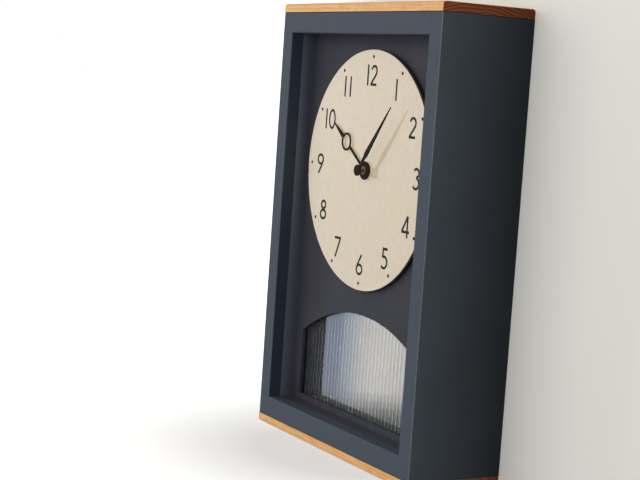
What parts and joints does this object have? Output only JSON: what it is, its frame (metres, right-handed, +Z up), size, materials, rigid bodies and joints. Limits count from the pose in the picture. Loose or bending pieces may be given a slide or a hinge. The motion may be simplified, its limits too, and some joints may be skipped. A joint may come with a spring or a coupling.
{
  "type": "pendulum clock",
  "caption": "Deep box wall clock with an open painted frame, wooden end caps, raised round dial, arched reeded glass window and a quartz pendulum movement.",
  "frame": {"origin": "middle of the underside of the bottom cap, on the plane that it stands on", "axes": "+X to the right as seen from the front, +Y backwards to the wall, +Z up; the dial faces -Y"},
  "size_m": [0.274, 0.09, 0.4],
  "materials": {
    "oak": "oiled, fine grain",
    "slate_paint": "satin slate paint on board",
    "board_paint": "matt charcoal paint on board",
    "dial_card": "matt cream",
    "dark_ink": "printed",
    "faint_ink": "printed, faint",
    "reeded_glass": "flat in front, reeded behind",
    "plated_steel": "zinc plated",
    "batten_wood": "planed, bare",
    "hardboard": "pressed fibre board",
    "black_plastic": "moulded, fine texture",
    "white_plastic": "moulded",
    "rubber_washer": "matt",
    "brass": "brushed and lacquered",
    "copper_wire": "enamelled winding",
    "circuit_laminate": "green laminate",
    "cell_jacket": "plain printed jacket",
    "hand_black": "semi-gloss black lacquer"
  },
  "bodies": {
    "case": {"top_cap": "oak", "bottom_cap": "oak", "side_panel_left": "slate_paint", "side_panel_right": "slate_paint", "inner_top_board": "slate_paint", "inner_bottom_board": "slate_paint", "frame_stile_left": "slate_paint", "frame_stile_right": "slate_paint", "frame_rail_top": "slate_paint", "frame_rail_bottom": "slate_paint", "dial_board": "board_paint", "dial_spacer": "board_paint", "dial_disc": "dial_card", "dial_numerals": "dark_ink", "hour_dots": "dark_ink", "minute_dots": "faint_ink", "reeded_pane": "reeded_glass", "pane_clips": "plated_steel", "pane_clip_screws": "plated_steel", "board_battens": "batten_wood", "batten_screws": "plated_steel", "back_panel": "hardboard", "back_panel_screws": "plated_steel", "hanger_plate": "plated_steel", "hanger_screws": "plated_steel", "movement_shell": "black_plastic", "movement_cover": "black_plastic", "movement_screws": "plated_steel", "mounting_washer": "rubber_washer", "fixing_nut": "brass", "stepper_motor": "plated_steel", "motor_coil": "copper_wire", "circuit_board": "circuit_laminate", "pendulum_coil": "copper_wire", "battery_contact_plus": "plated_steel", "battery_contact_minus": "plated_steel", "pivot_clip": "plated_steel"},
    "minute_set": {"minute_hand": "hand_black", "centre_wheel": "brass"},
    "hour_set": {"hour_hand": "hand_black", "hour_collet": "plated_steel", "hour_wheel": "white_plastic"},
    "motion_set": {"motion_wheel": "white_plastic", "setting_knob": "white_plastic"},
    "drive_set": {"drive_pinion": "white_plastic"},
    "pendulum": {"pendulum_lever": "white_plastic", "pendulum_magnet": "plated_steel", "pendulum_rod": "brass", "pendulum_bob": "brass"},
    "battery": {"battery_cell": "cell_jacket"}
  },
  "joints": [
    {"name": "minute_spin", "type": "hinge", "parent": "case", "child": "minute_set", "pos_m": [0, 0, 0.254], "axis": [0, 1, 0], "continuous": true},
    {"name": "hour_spin", "type": "hinge", "parent": "case", "child": "hour_set", "pos_m": [0, 0, 0.254], "axis": [0, 1, 0], "continuous": true},
    {"name": "motion_spin", "type": "hinge", "parent": "case", "child": "motion_set", "pos_m": [0, 0, 0.266], "axis": [0, 1, 0], "continuous": true},
    {"name": "drive_spin", "type": "hinge", "parent": "case", "child": "drive_set", "pos_m": [0, 0, 0.242], "axis": [0, 1, 0], "continuous": true},
    {"name": "pendulum_swing", "type": "hinge", "parent": "case", "child": "pendulum", "pos_m": [0, 0, 0.224], "axis": [0, 1, 0], "range_deg": [-4, 4]},
    {"name": "battery_out", "type": "slide", "parent": "case", "child": "battery", "axis": [0, 1, 0], "range_m": [0, 0.03]}
  ],
  "couplings": [
    {"joint": "hour_spin", "follows": "minute_spin", "ratio": 0.083333},
    {"joint": "motion_spin", "follows": "minute_spin", "ratio": -0.33333},
    {"joint": "drive_spin", "follows": "minute_spin", "ratio": -4}
  ]
}
